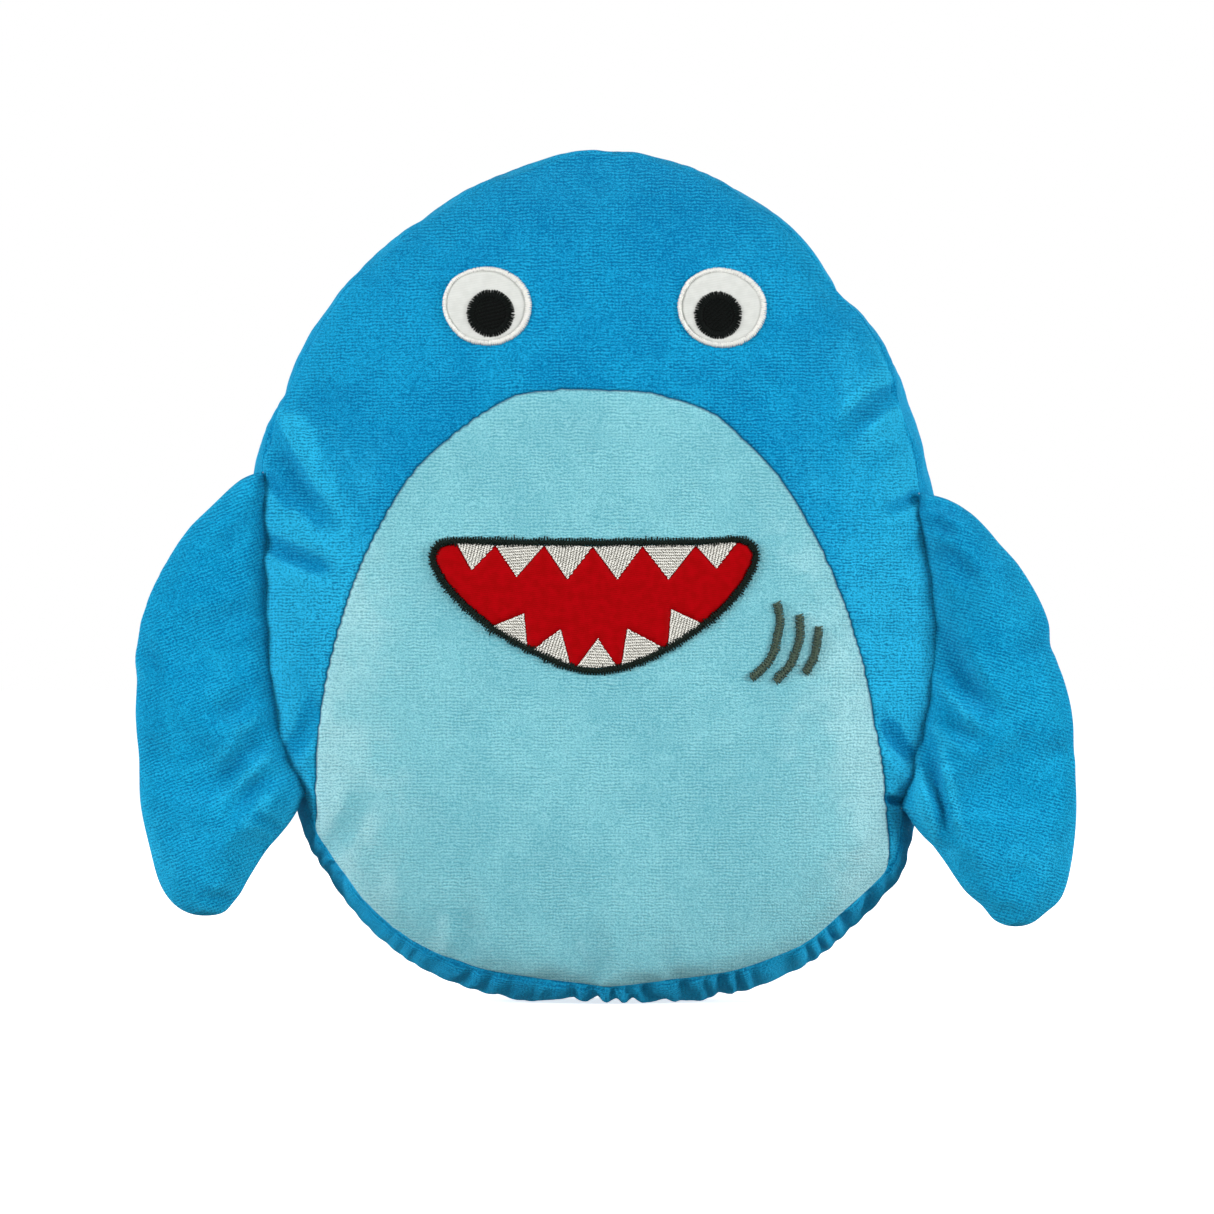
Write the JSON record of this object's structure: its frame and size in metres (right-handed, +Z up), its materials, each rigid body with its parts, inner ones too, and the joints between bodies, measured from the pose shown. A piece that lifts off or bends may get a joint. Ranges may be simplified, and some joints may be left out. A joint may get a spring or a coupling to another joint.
{
  "type": "plush shark cushion",
  "caption": "Stuffed plush shark cushion with a boxed egg-shaped body, embroidered eyes and toothy open mouth, side gill marks, and sewn-on flippers that swing at their seams.",
  "frame": {"origin": "centre of the flat lower end that the toy rests on", "axes": "+Z up through the head, -Y out of the face, +X to the right as seen from the front"},
  "size_m": [0.3856, 0.115, 0.353],
  "materials": {
    "blue_velour": "matte",
    "flipper_velour": "matte",
    "pale_velour": "matte",
    "fibre_fill": "matte",
    "backing_fleece": "matte",
    "blue_thread": "satin",
    "white_thread": "satin",
    "black_thread": "satin",
    "red_thread": "satin",
    "dark_thread": "satin",
    "tooth_thread": "satin"
  },
  "bodies": {
    "body": {"front_panel": "blue_velour", "belly_panel": "pale_velour", "gusset": "blue_velour", "back_panel": "blue_velour", "body_stuffing": "fibre_fill", "closing_stitches": "blue_thread", "eye_white_left": "white_thread", "eye_white_right": "white_thread", "eye_border_left": "white_thread", "eye_border_right": "white_thread", "pupil_left": "black_thread", "pupil_right": "black_thread", "mouth_patch": "red_thread", "mouth_outline": "dark_thread", "upper_tooth_1": "tooth_thread", "upper_tooth_2": "tooth_thread", "upper_tooth_3": "tooth_thread", "upper_tooth_4": "tooth_thread", "upper_tooth_5": "tooth_thread", "upper_tooth_6": "tooth_thread", "lower_tooth_1": "tooth_thread", "lower_tooth_2": "tooth_thread", "lower_tooth_3": "tooth_thread", "lower_tooth_4": "tooth_thread", "lower_tooth_5": "tooth_thread", "gill_mark_1": "dark_thread", "gill_mark_2": "dark_thread", "gill_mark_3": "dark_thread", "eye_backing_left": "backing_fleece", "eye_backing_right": "backing_fleece", "mouth_backing": "backing_fleece", "gill_backing": "backing_fleece"},
    "left_flipper": {"left_flipper_front": "flipper_velour", "left_flipper_back": "flipper_velour", "left_flipper_stuffing": "fibre_fill"},
    "right_flipper": {"right_flipper_front": "flipper_velour", "right_flipper_back": "flipper_velour", "right_flipper_stuffing": "fibre_fill"}
  },
  "joints": [
    {"name": "left_flipper_hinge", "type": "hinge", "parent": "body", "child": "left_flipper", "pos_m": [-0.1436, -0.036, 0.155], "axis": [-0.04, 0, 0.9992], "range_deg": [-25, 70], "stiffness_Nm_per_rad": 0.04},
    {"name": "right_flipper_hinge", "type": "hinge", "parent": "body", "child": "right_flipper", "pos_m": [0.1399, -0.036, 0.155], "axis": [-0.012, 0, -0.9999], "range_deg": [-25, 70], "stiffness_Nm_per_rad": 0.04}
  ]
}
